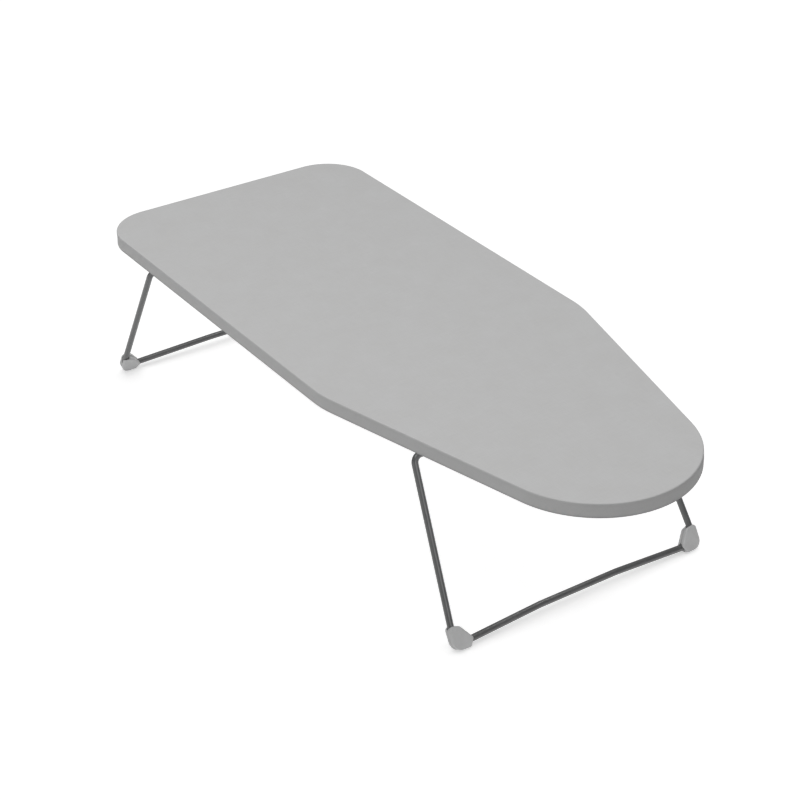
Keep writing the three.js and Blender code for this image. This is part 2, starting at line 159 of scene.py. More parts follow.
def studio():
    """A plain white floor and surround. A softbox overhead lights the board, and each leg has lamps of
    its own, which shine through the board. Only the legs cast a shadow in the floor's broad, even light."""
    scene.view_settings.view_transform = "Standard"
    world = bpy.data.worlds.new("surround")
    scene.world = world
    world.use_nodes = True
    tree = world.node_tree
    back = tree.nodes["Background"]
    back.inputs["Color"].default_value = (1, 1, 1, 1)
    seen = tree.nodes.new("ShaderNodeLightPath")
    level = tree.nodes.new("ShaderNodeMapRange")
    level.inputs["To Min"].default_value = AMBIENT
    level.inputs["To Max"].default_value = 1.0
    tree.links.new(seen.outputs["Is Camera Ray"], level.inputs["Value"])
    tree.links.new(level.outputs[0], back.inputs["Strength"])
    corners = [(x * FLOOR_HALF, y * FLOOR_HALF, 0) for x, y in ((-1, -1), (1, -1), (1, 1), (-1, 1))]
    floor = make("floor", corners, [(0, 1, 2, 3)])
    white = Finish("floor_white", grey(0.9), 0.9, Specular_IOR_Level=0.0,
                   Emission_Color=(1, 1, 1, 1), Emission_Strength=FLOOR_GLOW)
    # The floor is clear from below, so that the underside can be looked at.
    clear = white.node("ShaderNodeBsdfTransparent").outputs[0]
    back_side = white.node("ShaderNodeNewGeometry").outputs["Backfacing"]
    two_sided = white.node("ShaderNodeMixShader", {0: back_side, 1: white.shader.outputs[0], 2: clear})
    white.tree.links.new(two_sided.outputs[0], white.tree.nodes["Material Output"].inputs["Surface"])
    floor.data.materials.append(white.material)
    floor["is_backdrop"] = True
    board = [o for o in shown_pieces() if body_of(o) == ["board"]]
    legs = [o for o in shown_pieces() if body_of(o) != ["board"]]
    box = dict(shape="RECTANGLE", size=1.9, size_y=1.9)
    card = dict(shape="RECTANGLE", size=1.2, size_y=0.8)
    small = dict(shape="RECTANGLE", size=0.22, size_y=0.22)
    overhead = (0.03, 0.7, -3.7)
    lamp("softbox", "AREA", SOFTBOX, overhead, board, **box)
    for title, (key, left, front, rim) in LEG_LAMPS.items():
        lit = [o for o in legs if body_of(o) == [f"{title}_leg"]]
        lamp(f"{title}_leg_key", "AREA", key, overhead, lit, legs, **box)
        lamp(f"{title}_leg_left", "AREA", left, (-0.25, 1.9, -0.55), lit, legs, **card)
        lamp(f"{title}_leg_front", "AREA", front, (-1.75, 0.3, -0.95), lit, legs, **card)
        lamp(f"{title}_leg_rim", "AREA", rim, (0.18, -0.96, -1.74), lit, legs, **small)
    lamp("floor_light", "SUN", FLOOR_LIGHT, (0.34, -0.23, -1), [floor], legs, angle=math.radians(100))


# ---- materials ----
# The cotton's grey, from 0 to 1, and the distance between its threads in metres.
COTTON, THREAD = 0.44, 0.00056


class Finish:
    """A procedural material: a Principled shader and the nodes that feed it."""

    def __init__(self, name, colour, roughness, **sockets):
        self.material = bpy.data.materials.new(name)
        self.material.use_nodes = True
        self.tree = self.material.node_tree
        self.shader = self.tree.nodes["Principled BSDF"]
        self.shader.inputs["Base Color"].default_value = (*colour, 1)
        self.shader.inputs["Roughness"].default_value = roughness
        for socket, value in sockets.items():
            self.shader.inputs[socket.replace("_", " ")].default_value = value
        self.colour = colour
        self.place = self.node("ShaderNodeTexCoord").outputs["Object"]
        self.heights = []

    def node(self, kind, values=(), **settings):
        made = self.tree.nodes.new(kind)
        for key, value in settings.items():
            setattr(made, key, value)
        for key, value in dict(values).items():
            if isinstance(value, bpy.types.NodeSocket):
                self.tree.links.new(value, made.inputs[key])
            else:
                made.inputs[key].default_value = value
        return made

    def calc(self, operation, *values):
        return self.node("ShaderNodeMath", dict(enumerate(values)), operation=operation).outputs[0]

    def stretch(self, x, y, z, at=None):
        """The place, stretched: a texture is finer along an axis with a larger number."""
        return self.node("ShaderNodeMapping", {"Vector": at or self.place, "Scale": (x, y, z)}).outputs[0]

    def noise(self, size, detail=2.0, at=None, distortion=0.0):
        """Smooth noise between 0 and 1, of that size in metres."""
        made = self.node("ShaderNodeTexNoise", {
            "Vector": at or self.place, "Scale": 1 / size, "Detail": detail, "Distortion": distortion})
        return made.outputs[0]

    def within(self, value, low, high, out_low=0.0, out_high=1.0):
        """The value, from low to high, spread from out_low to out_high."""
        made = self.node("ShaderNodeMapRange", {
            "Value": value, "From Min": low, "From Max": high, "To Min": out_low, "To Max": out_high})
        return made.outputs[0]

    def tint(self, *layers):
        """The colour, with each layer (value, colour at 0, colour at 1) multiplied in."""
        colour = (*self.colour, 1)
        for value, low, high in layers:
            layer = self.node("ShaderNodeMix", {0: value, 6: (*low, 1), 7: (*high, 1)}, data_type="RGBA")
            colour = self.node("ShaderNodeMix", {0: 1.0, 6: colour, 7: layer.outputs[2]},
                               data_type="RGBA", blend_type="MULTIPLY").outputs[2]
        self.tree.links.new(colour, self.shader.inputs["Base Color"])

    def rough(self, value, low, high):
        self.tree.links.new(self.within(value, 0.25, 0.75, low, high), self.shader.inputs["Roughness"])

    def bump(self, height, depth, strength=1.0):
        """Adds relief of that depth in metres."""
        made = self.node("ShaderNodeBump", {"Height": height, "Distance": depth, "Strength": strength})
        if self.heights:
            self.tree.links.new(self.heights[-1], made.inputs["Normal"])
        self.heights.append(made.outputs[0])
        self.tree.links.new(made.outputs[0], self.shader.inputs["Normal"])


def grey(value, warm=0.0):
    return (value * (1 + warm), value, value * (1 - warm))


def cotton():
    """Closely woven matt cotton: warp and weft, slubs and faint mottling, with painted shade along the folds
    of the edge and hem and a painted highlight on the hem's ridges.
    """
    f = Finish("cover_cotton", grey(COTTON, 0.001), 0.9, Sheen_Weight=0.12, Sheen_Roughness=0.4,
               Specular_IOR_Level=0.25)
    cloth = f.node("ShaderNodeAttribute", attribute_name="cloth").outputs["Vector"]
    along = f.node("ShaderNodeSeparateXYZ", {0: cloth})
    turns = 2 * math.pi / THREAD
    warp = f.calc("SINE", f.calc("MULTIPLY", along.outputs[0], turns))
    weft = f.calc("SINE", f.calc("MULTIPLY", along.outputs[1], turns))
    over = f.calc("MULTIPLY", warp, weft)
    weave = f.within(f.calc("ADD", over, f.calc("MULTIPLY", f.calc("ADD", warp, weft), 0.3)), -1.4, 1.4)
    slub_x = f.noise(1, 1, f.stretch(60, 1500, 1, cloth))
    slub_y = f.noise(1, 1, f.stretch(1500, 60, 1, cloth))
    slubs = f.calc("MULTIPLY", f.calc("ADD", slub_x, slub_y), 0.5)
    mottle = f.noise(0.03, 3, cloth)
    # Painted shade along the folds of the cover's edge and hem, and a painted highlight on the hem's ridges.
    painted_shading = f.node("ShaderNodeAttribute", attribute_name="painted_shading").outputs["Fac"]
    f.tint((weave, grey(0.955), grey(1.03)),
           (f.within(slubs, 0.3, 0.7), grey(0.965), grey(1.035)),
           (f.within(mottle, 0.3, 0.7), grey(0.985, 0.002), grey(1.012, -0.002)),
           (f.within(painted_shading, -1, 1), grey(0.62), grey(1.38)))
    f.rough(mottle, 0.86, 0.95)
    f.bump(weave, 0.00012, 0.8)
    f.bump(slubs, 0.0001, 0.6)
    f.bump(f.noise(0.00035, 2, cloth), 0.00005, 0.5)
    return f.material


def thread():
    """Twisted polyester sewing thread."""
    f = Finish("hem_thread", grey(COTTON * 0.8), 0.55, Sheen_Weight=0.2, Sheen_Roughness=0.3)
    twist = f.node("ShaderNodeTexWave", {"Vector": f.stretch(2600, 2600, 2600), "Scale": 1.0,
                                         "Distortion": 1.5}, bands_direction="DIAGONAL")
    ply = twist.outputs["Fac"]
    f.tint((ply, grey(0.8), grey(1.1)))
    f.bump(ply, 0.00008)
    f.rough(f.noise(0.001), 0.45, 0.65)
    return f.material


def needled_felt():
    """Needled felt: matted fibres in every direction, with small dents."""
    f = Finish("needled_felt", grey(0.62, 0.035), 1.0, Sheen_Weight=0.3, Sheen_Roughness=0.6)
    fibres = f.noise(0.0011, 5, distortion=3.5)
    strands = f.noise(0.0006, 3, f.stretch(1, 0.25, 1), 2.5)
    clumps = f.noise(0.009, 3)
    f.tint((f.within(fibres, 0.3, 0.7), grey(0.84, 0.01), grey(1.08)),
           (f.within(clumps, 0.3, 0.7), grey(0.93), grey(1.04)))
    f.bump(fibres, 0.0004, 0.8)
    f.bump(strands, 0.0002, 0.7)
    f.rough(clumps, 0.92, 1.0)
    return f.material


def braided_elastic():
    """Braided cord: two sets of yarns that cross as they wind round."""
    f = Finish("braided_elastic", grey(0.74, 0.02), 0.75, Sheen_Weight=0.25, Sheen_Roughness=0.5)
    run = f.node("ShaderNodeAttribute", attribute_name="run").outputs["Vector"]
    at = f.node("ShaderNodeSeparateXYZ", {0: run})
    around = f.calc("MULTIPLY", at.outputs[1], 4.0)
    one = f.calc("SINE", f.calc("ADD", at.outputs[0], around))
    two = f.calc("SINE", f.calc("SUBTRACT", at.outputs[0], around))
    braid = f.within(f.calc("MULTIPLY", one, two), -1, 1)
    f.tint((braid, grey(0.78), grey(1.06)))
    f.bump(braid, 0.0002)
    f.rough(f.noise(0.002), 0.65, 0.85)
    return f.material


def stoved_paint(name, base, gloss, metallic=0.0, peel=0.0016, **sockets):
    """Powder coat on steel: orange peel, finer pitting, dust, and thinner paint on worn spots."""
    f = Finish(name, grey(base, -0.01), gloss, Metallic=metallic, **sockets)
    skin = f.noise(peel, 2)
    fine = f.noise(0.00035, 2)
    dust = f.noise(0.02, 4)
    rubbed = f.within(f.noise(0.006, 5), 0.62, 0.74)
    f.tint((f.within(dust, 0.3, 0.7), grey(0.9), grey(1.1)),
           (f.within(fine, 0.35, 0.65), grey(0.93), grey(1.07)),
           (rubbed, grey(1), grey(1.25)))
    haze = f.calc("ADD", f.calc("MULTIPLY", dust, 0.6), f.calc("MULTIPLY", fine, 0.4))
    f.rough(haze, gloss - 0.06, gloss + 0.1)
    f.bump(skin, 0.00006, 0.5)
    f.bump(fine, 0.00002, 0.5)
    return f.material


def zinc():
    """Zinc-plated steel with turning marks and patchy passivation."""
    f = Finish("zinc_plate", grey(0.6), 0.35, Metallic=1.0)
    patch = f.noise(0.0022, 4)
    marks = f.noise(1, 2, f.stretch(500, 500, 9000))
    f.tint((f.within(patch, 0.3, 0.7), (0.88, 0.9, 0.95), (1.06, 1.04, 0.98)),
           (marks, grey(0.92), grey(1.06)))
    f.rough(patch, 0.26, 0.5)
    f.bump(marks, 0.00003, 0.6)
    f.bump(f.noise(0.0005), 0.00002, 0.5)
    return f.material


def moulded(name, base, gloss, grain=0.0005, **sockets):
    """Moulded plastic: a fine spark-eroded grain, faint flow marks and scuffs."""
    f = Finish(name, grey(base, -0.003), gloss, **sockets)
    cells = f.node("ShaderNodeTexVoronoi", {"Vector": f.place, "Scale": 1 / grain}, feature="SMOOTH_F1")
    pits = cells.outputs["Distance"]
    flow = f.noise(0.012, 3, f.stretch(1, 1, 0.4), 1.0)
    scuff = f.within(f.noise(0.0025, 5), 0.6, 0.75)
    f.tint((f.within(flow, 0.3, 0.7), grey(0.96), grey(1.04)),
           (f.within(pits, 0, 0.8), grey(0.97), grey(1.03)),
           (scuff, grey(1), grey(1.08)))
    haze = f.calc("ADD", f.calc("MULTIPLY", flow, 0.5), f.calc("MULTIPLY", pits, 0.5))
    f.rough(haze, gloss - 0.06, gloss + 0.08)
    f.bump(pits, 0.00004, 0.6)
    f.bump(f.noise(0.004, 2), 0.00006, 0.4)
    return f.material


# ---- making meshes ----
def make(name, points, faces, attributes=()):
    """A smooth-shaded mesh object from points in millimetres. attributes holds (name, type, values)."""
    mesh = bpy.data.meshes.new(name)
    mesh.from_pydata((np.asarray(points, float) * MM).tolist(), [], [tuple(map(int, f)) for f in faces])
    for title, kind, values in attributes:
        layer = mesh.attributes.new(title, kind, "POINT")
        field = "vector" if kind == "FLOAT_VECTOR" else "value"
        layer.data.foreach_set(field, np.asarray(values, float).ravel())
    mesh.polygons.foreach_set("use_smooth", [True] * len(mesh.polygons))
    obj = bpy.data.objects.new(name, mesh)
    scene.collection.objects.link(obj)
    return obj


def finish_piece(obj, material, body, slot, *nodes):
    obj.data.materials.clear()
    obj.data.materials.append(material)
    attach(obj, body)
    if nodes:
        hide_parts(*nodes)
    return obj


def edit(obj, change):
    """Runs change(bm) on the object's mesh."""
    bm = bmesh.new()
    bm.from_mesh(obj.data)
    change(bm)
    bm.to_mesh(obj.data)
    bm.free()


def weld(obj, distance=0.01):
    def change(bm):
        bmesh.ops.remove_doubles(bm, verts=bm.verts, dist=distance * MM)
        bmesh.ops.recalc_face_normals(bm, faces=bm.faces)
    edit(obj, change)


def loft(rings, closed=True):
    """Quads between rows of points that each go once round."""
    rings = np.asarray(rings)
    rows, count = rings.shape[:2]
    i = np.arange(count if closed else count - 1)
    j = np.arange(rows - 1)[:, None]
    a, b = j * count + i, j * count + (i + 1) % count
    return rings.reshape(-1, rings.shape[2]), np.stack([a, a + count, b + count, b], -1).reshape(-1, 4)


def soften(obj, angle=35):
    """Smooth shading that keeps edges sharper than the angle, with normals led by the large faces."""
    obj.data.set_sharp_from_angle(angle=math.radians(angle))
    obj.modifiers.new("weighted", "WEIGHTED_NORMAL").keep_sharp = True


def applied(obj):
    """Bakes the object's modifiers into its mesh."""
    graph = bpy.context.evaluated_depsgraph_get()
    mesh = bpy.data.meshes.new_from_object(obj.evaluated_get(graph))
    obj.modifiers.clear()
    old, obj.data = obj.data, mesh
    bpy.data.meshes.remove(old)
    return obj


def rounded(obj, width, segments, angle, harden=False):
    """Rounds the edges sharper than the angle in degrees, over that width in millimetres."""
    obj.data.polygons.foreach_set("use_smooth", [True] * len(obj.data.polygons))
    bevel = obj.modifiers.new("rounding", "BEVEL")
    bevel.width, bevel.segments, bevel.harden_normals = width * MM, segments, harden
    bevel.limit_method, bevel.angle_limit = "ANGLE", math.radians(angle)
    applied(obj)


# ---- the board's edge ----
NOSE_X = LENGTH / 2 - NOSE_R
# The rings of the cover and the pad spread from the board's midline, which starts here at the rear.
MIDLINE_X = -LENGTH / 2 + 150
_dx, _dy = NOSE_X - SHOULDER_X, SHOULDER_R - WIDTH / 2
TAPER = math.degrees(math.asin((SHOULDER_R - NOSE_R) / math.hypot(_dx, _dy)) - math.atan2(_dy, _dx))


def board_edge(count):
    """Equal steps round the board's edge from the middle of the rear: places, ways out, and bend (1/mm)."""
    rear = (-LENGTH / 2 + REAR_CORNER_R, WIDTH / 2 - REAR_CORNER_R, REAR_CORNER_R)
    side = (SHOULDER_X, WIDTH / 2 - SHOULDER_R, SHOULDER_R)
    bends = [(rear[0], -rear[1], rear[2], 180, 270), (side[0], -side[1], side[2], 270, 270 + TAPER),
             (NOSE_X, 0, NOSE_R, 270 + TAPER, 450 - TAPER), (*side, 90 - TAPER, 90), (*rear, 90, 180)]
    rows = [(-LENGTH / 2, 0, -1, 0, 0)]
    for cx, cy, r, start, end in bends:
        for k, a in enumerate(np.radians(np.linspace(start, end, 160))):
            bend = 0 if k in (0, 159) else 1 / r
            rows.append((cx + r * math.cos(a), cy + r * math.sin(a), math.cos(a), math.sin(a), bend))
    rows.append(rows[0])
    rows = np.array(rows)
    run = np.r_[0, np.cumsum(np.hypot(*np.diff(rows[:, :2], axis=0).T))]
    at = (np.arange(count) + 0.5) / count * run[-1]
    table = np.stack([np.interp(at, run, column) for column in rows.T], 1)
    way = table[:, 2:4] / np.linalg.norm(table[:, 2:4], axis=1)[:, None]
    return table[:, :2], way, table[:, 4], run[-1]


def ring(edge, way, inset, z):
    flat = edge - way * np.reshape(inset, (-1, 1))
    return np.column_stack([flat, np.broadcast_to(z, len(edge))])


def smoothed(values, reach):
    """A running average round the closed edge."""
    kernel = np.hanning(2 * reach + 1)
    padded = np.r_[values[-reach:], values, values[:reach]]
    return np.convolve(padded, kernel / kernel.sum(), "valid")


# The board's edge in equal steps: places, ways out, bend at each, and the length all round.
EDGE_COUNT = 880
EDGE, WAY, BEND, ROUND = board_edge(EDGE_COUNT)

# The gathers that the elastic draws up in the hem: strong round the corners, slight on the straights.
GATHER_COUNT, CORNER_BEND, SMOOTHING = 132, 0.0104, 14
FOLD_FROM, FOLD_OVER, STRAIGHT_FOLD, CORNER_FOLD = 5, 20, 0.28, 1.15


def gathers():
    """How full the hem is (0 to 1) and the wave of its folds (-1 to 1) at each step of the edge."""
    full = smoothed(np.clip(BEND / CORNER_BEND, 0, 1.6), SMOOTHING)
    turns = 2 * math.pi * np.arange(EDGE_COUNT) / EDGE_COUNT

    def uneven(*waves):
        return sum(size * np.sin(count * turns + 2 * math.pi * rng.random()) for count, size in waves)

    wave = np.sin(GATHER_COUNT * turns + uneven((5, 2.1), (11, 1.3), (23, 0.8), (41, 0.45)))
    height = 0.75 + uneven((17, 0.35), (37, 0.2))
    return np.clip(full, 0, 1.35), wave * np.clip(height, 0.25, 1.3)


FULL, WAVE = gathers()


def fold(inset):
    """How far the gathers lift the hem at that inset, in mm; they die out towards the board's edge."""
    grow = np.clip((inset - FOLD_FROM) / FOLD_OVER, 0, 1) ** 1.3
    straight = STRAIGHT_FOLD * (0.5 + 0.5 * WAVE)
    gathered = CORNER_FOLD * FULL * (WAVE + 0.45)
    return grow * (straight + gathered)


# ---- the cover ----
TOP_R, LOW_R, CLOTH = 1.2, 0.9, 0.6
TOP_ROWS, TOP_INSET, SIDE_SLACK, HEM_SLACK = 20, 9, 1.3, 0.85
HEM_PULL, PULL_FROM, PULL_OVER = 0.35, 14, 10
STITCH_PITCH, STITCH_SPAN, STITCH_HALF_W, STITCH_HALF_H, STITCH_SINK = 3.45, 0.34, 0.24, 0.17, 0.12
ELASTIC_R, ELASTIC_SIDES, ELASTIC_LAY = 1.15, 10, 2.4
STITCH_LIFT, ELASTIC_LIFT = 0.2, 2.35


def slack():
    """How far the cover stands proud of the rim at each step: up to 1.4 mm on the left of the nose."""
    facing = np.degrees(np.arctan2(WAY[:, 1], WAY[:, 0]))
    share = np.interp(facing, [-50, -30, 0, 30, 60, 83, 90], [0, 0.3, 0.75, 1, 1.1, 0.35, 0])
    return smoothed(np.where(EDGE[:, 0] > 0, SIDE_SLACK * share, 0), 18)


SLACK = slack()


def cover_rings():
    """Rings of the cloth's outer face, from the board's midline over the edge and in under the hem. Each
    has its points, its distance along the cloth from the edge, and its painted shade (-1) or painted
    highlight (1)."""
    midline = np.column_stack([np.clip(EDGE[:, 0], MIDLINE_X, NOSE_X), np.zeros(EDGE_COUNT),
                               np.full(EDGE_COUNT, HEIGHT)])
    shoulder = ring(EDGE, WAY, TOP_INSET, HEIGHT)
    rows = [(midline + (shoulder - midline) * t, -TOP_INSET - 60 * (1 - t), 0.0)
            for t in np.linspace(0, 1, TOP_ROWS)]
    # Inset, drop and painted shade of each ring over the edge: painted shade under the top edge, on the wall,
    # and darkest along the lower fold.
    profile = [(6.5, 0, 0.0), (4.5, 0, 0.0), (2.6, 0.02, 0.0)]
    profile += [(TOP_R * (1 - math.sin(a)), TOP_R * (1 - math.cos(a)), -0.12 * math.sin(a) ** 4)
                for a in np.radians([0, 12, 24, 36, 48, 60, 72, 84])]
    profile += [(0.02, 3, -0.05), (0.12, 5.4, 0.0), (0.18, 8, 0.0), (0.12, 10.6, 0.0), (0.03, 12.6, -0.12)]
    profile += [(LOW_R * (1 - math.cos(a)), BOARD_T - LOW_R * (1 - math.sin(a)), -0.8)
                for a in np.radians([0, 25, 50, 75, 90])]
    travel = 0.0
    last = (TOP_INSET, 0)
    for inset, drop, painted_shading in profile:
        travel += math.hypot(inset - last[0], drop - last[1])
        last = (inset, drop)
        loose = SLACK * np.interp(inset - drop, [-BOARD_T, -8, -1.5, 9], [HEM_SLACK, 1, 0.45, 0])
        rows.append((ring(EDGE, WAY, inset - loose, HEIGHT - drop), travel - TOP_INSET, painted_shading))
    # Inset and lift of each ring of the hem: flat, raised at the stitches, then round the elastic and back.
    hem = [(2.5, 0), (4.5, 0), (7, 0), (9.5, 0), (12, 0), (14.5, 0), (17, 0), (18.8, 0.02), (19.8, 0.12),
           (20.5, 0.32), (21.2, 0.12), (22.2, -0.1), (23.6, -0.15), (25.2, -0.1), (26.5, 0.15), (27.4, 0.8),
           (27.75, 1.8), (27.7, 2.9), (27.1, 3.9), (26, 4.5), (24.8, 4.6), (23.4, 4.1), (22.2, 3),
           (21.3, 1.8), (20.5, 1.15), (19.4, 1.0), (18, 1.05)]
    # The hem turns up from one ring on. The ring at the stitches and two on the roll get a painted highlight.
    turned_up, painted_highlight_rings = 13, (9, 16, 17)
    for k, (inset, lift) in enumerate(hem):
        travel += math.hypot(inset - last[0], 0.01) + (0.5 if k >= turned_up else 0)
        last = (inset, 0)
        pull = HEM_PULL * FULL * WAVE * np.clip((inset - PULL_FROM) / PULL_OVER, 0, 1)
        pull -= SLACK * HEM_SLACK * np.clip(1 - inset / PULL_FROM, 0, 1)
        row = ring(EDGE, WAY, inset + pull, UNDER + lift + fold(min(inset, ELASTIC_INSET)))
        rows.append((row, travel - TOP_INSET, 0.25 if k in painted_highlight_rings else 0.0))
    return rows


def cover():
    """The cloth, with a slight ease in its flat top and its own flat measure for the weave."""
    rows = cover_rings()
    points, faces = loft([p for p, _, _ in rows])
    x, y = points[:, 0], points[:, 1]
    on_top = points[:, 2] > HEIGHT - 0.03
    ease = (0.09 * np.sin(x / 31 + 0.6) * np.sin(y / 27 + 1.1)
            + 0.07 * np.sin(x / 17 - y / 23 + 2.0) + 0.05 * np.sin(y / 12 + x / 41))
    inward = np.clip(np.repeat([max(0, -t - 4) for _, t, _ in rows], EDGE_COUNT) / 12, 0, 1)
    points[:, 2] += np.where(on_top, ease * inward, 0)
    flat = np.vstack([p[:, :2] if k < TOP_ROWS else EDGE + WAY * travel
                      for k, (p, travel, _) in enumerate(rows)])
    cloth = np.column_stack([flat, np.zeros(len(flat))]) * MM
    # The painted shade and painted highlight of each ring, which darken or lighten the cotton.
    painted_shading = np.repeat([c for _, _, c in rows], EDGE_COUNT)
    obj = make("cover_cloth", points, faces[:, ::-1],
               [("cloth", "FLOAT_VECTOR", cloth), ("painted_shading", "FLOAT", painted_shading)])
    weld(obj)
    solid = obj.modifiers.new("cloth", "SOLIDIFY")
    solid.thickness, solid.offset = CLOTH * MM, -1
    return finish_piece(obj, cotton(), "board", "cover_cloth", "cover")


def hem_stitches():
    """One row of lockstitch along the hem, each stitch sunk a little into the cloth."""
    steps = round(ROUND / STITCH_PITCH)
    line = ring(EDGE, WAY, STITCH_INSET, UNDER + STITCH_LIFT + fold(STITCH_INSET))
    line = np.vstack([line, line[:1]])
    half_stitch = STITCH_SPAN * EDGE_COUNT / steps

    def along(t):
        return np.array([np.interp(t % EDGE_COUNT, np.arange(EDGE_COUNT + 1), column) for column in line.T])

    sides = 6
    shape = [(-1, 0.02), (-0.85, 0.62), (-0.45, 0.95), (0, 1), (0.45, 0.95), (0.85, 0.62), (1, 0.02)]
    points, faces = [], []
    for t in (np.arange(steps) + 0.5) / steps * EDGE_COUNT:
        back, front = along(t - half_stitch), along(t + half_stitch)
        middle, reach = (back + front) / 2, (front - back) / 2
        across = np.cross(reach / np.linalg.norm(reach), (0, 0, 1))
        start = len(points)
        for u, r in shape:
            centre = middle + reach * u - (0, 0, STITCH_SINK * (1 - u * u))
            for a in 2 * math.pi * np.arange(sides) / sides:
                aside = across * STITCH_HALF_W * r * math.cos(a)
                points.append(centre + aside + (0, 0, STITCH_HALF_H * r * math.sin(a)))
        for row in range(start, len(points) - sides, sides):
            faces += [(row + k, row + (k + 1) % sides, row + sides + (k + 1) % sides, row + sides + k)
                      for k in range(sides)]
        faces.append(tuple(reversed(range(start, start + sides))))
        faces.append(tuple(range(len(points) - sides, len(points))))
    obj = make("hem_stitching", points, faces)
    weld(obj, 0.0001)
    return finish_piece(obj, thread(), "board", "cover_cloth")


def elastic():
    """The round elastic in its channel, rising and falling with the gathers."""
    z = UNDER + ELASTIC_LIFT + fold(ELASTIC_INSET)
    pull = HEM_PULL * FULL * WAVE * (ELASTIC_INSET - PULL_FROM) / PULL_OVER
    centre = ring(EDGE, WAY, ELASTIC_INSET + pull, z)
    length = np.r_[0, np.cumsum(np.linalg.norm(np.diff(centre, axis=0), axis=1))]
    rows, run = [], []
    for a in 2 * math.pi * np.arange(ELASTIC_SIDES) / ELASTIC_SIDES:
        up = np.full(EDGE_COUNT, ELASTIC_R * math.sin(a))
        rows.append(centre + np.column_stack([WAY * ELASTIC_R * math.cos(a), up]))
        turns = length / ELASTIC_LAY * 2 * math.pi
        run.append(np.column_stack([turns, np.full(EDGE_COUNT, a), np.zeros(EDGE_COUNT)]))
    points, faces = loft(rows + rows[:1])
    obj = make("hem_elastic_cord", points, faces, [("run", "FLOAT_VECTOR", np.vstack(run + run[:1]))])
    weld(obj)
    return finish_piece(obj, braided_elastic(), "board", "elastic_cord", "hem_elastic")


def felt():
    """The pad under the cloth: a soft-edged sheet of felt with small dents in both faces."""
    count, inner_rows, r = 440, 26, 1.1
    edge, way, _, _ = board_edge(count)
    low, high = PAD_TOP - PAD_T, PAD_TOP
    middle = np.clip(edge[:, 0], MIDLINE_X, NOSE_X)

    def inner(z, order):
        start = np.column_stack([middle, np.zeros(count), np.full(count, z)])
        end = ring(edge, way, RIM_INSET + 5, z)
        return [start + (end - start) * t for t in order]

    turn = np.radians([0, 22, 45, 67, 90])
    over = [ring(edge, way, RIM_INSET + r * (1 - math.sin(a)), high - r * (1 - math.cos(a))) for a in turn]
    back = [ring(edge, way, RIM_INSET + r * (1 - math.cos(a)), low + r * (1 - math.sin(a))) for a in turn]
    outward = np.linspace(0, 1, inner_rows)
    points, faces = loft(inner(high, outward) + over + back + inner(low, outward[::-1]))
    x, y, z = points.T
    dents = np.abs(0.07 * np.sin(x / 6.1 + np.sin(y / 9)) * np.sin(y / 5.3 + np.sin(x / 8))
                   + 0.05 * np.sin(x / 19 + y / 13))
    on_face = np.abs(z - (low + high) / 2) > PAD_T / 2 - 0.01
    points[:, 2] += np.where(on_face, np.where(z > low + 1, -dents, dents), 0)
    obj = make("felt_sheet", points, faces[:, ::-1])
    weld(obj)
    return finish_piece(obj, needled_felt(), "board", "felt", "felt_pad")


# ---- the deck ----
def half_width(x, inset):
    """Half of the board's width at each x, less the inset."""
    edge, way, _, _ = board_edge(2000)
    line = (edge - way * inset)[1000:]
    order = np.argsort(line[:, 0])
    return np.interp(x, line[order, 0], line[order, 1], left=-1, right=-1)


def expanded_mesh(steel):
    """Expanded steel: staggered diamonds whose strands lie tilted between their knots."""
    pitch_x, hx, hy = 16.0, 8.0, 4.0
    # The hole, anticlockwise from the lower left of its left end, and how high each corner lies.
    hole = [(-6.1, -0.45), (0, -2.75), (6.1, -0.45), (6.1, 0.45), (0, 2.75), (-6.1, 0.45)]
    tilt = [0, -0.32, 0, 0, 0.32, 0]
    outer = [(-hx, 0), (0, -hy), (hx, 0), (0, hy)]
    trim = 3.6
    columns, lines = math.ceil(LENGTH / 2 / pitch_x) + 1, math.ceil(WIDTH / 2 / hy)
    cells = []
    for row in range(-lines, lines + 1):
        y = row * hy
        x = (np.arange(-columns, columns + 1) + (0.5 if row % 2 else 0)) * pitch_x
        reach = np.minimum(half_width(x - hx, trim), half_width(x + hx, trim))
        cells += [(a, y) for a, limit in zip(x, reach) if abs(y) + hy < limit]
    top, low = MESH_TOP - 0.32, MESH_TOP - MESH_T + 0.3
    points, faces = [], []
    # A cell's faces, by the corners of its hole and then of its outer diamond.
    flat = [(6, 7, 1, 0), (7, 8, 2, 1), (8, 3, 2), (8, 9, 4, 3), (9, 6, 5, 4), (6, 0, 5)]
    sides, layer = len(hole), len(hole) + len(outer)
    for cx, cy in cells:
        start = len(points)
        for z in (top, low):
            points += [(cx + a, cy + b, z + t) for (a, b), t in zip(hole, tilt)]
            points += [(cx + a, cy + b, z) for a, b in outer]
        for f in flat:
            faces.append([start + k for k in f])
            faces.append([start + layer + k for k in reversed(f)])
        for k in range(sides):
            n = (k + 1) % sides
            faces.append([start + k, start + n, start + layer + n, start + layer + k])
    obj = make("deck_expanded_steel", points, faces)

    def spot(vertex):
        return tuple(np.round(vertex.co.xy * 1e5).astype(int))

    def close(bm):
        """Joins the cells, and walls up the cut edge between the upper and the lower faces."""
        bmesh.ops.remove_doubles(bm, verts=bm.verts, dist=1e-5)
        rims = {}
        for edge in bm.edges:
            if edge.is_boundary:
                rims.setdefault(frozenset(map(spot, edge.verts)), []).append(edge)
        for pair in rims.values():
            if len(pair) == 2:
                bmesh.ops.contextual_create(bm, geom=pair)
        bmesh.ops.recalc_face_normals(bm, faces=bm.faces)
    edit(obj, close)
    soften(obj, angle=30)
    return finish_piece(obj, steel, "board", "deck_steel", "deck_mesh")


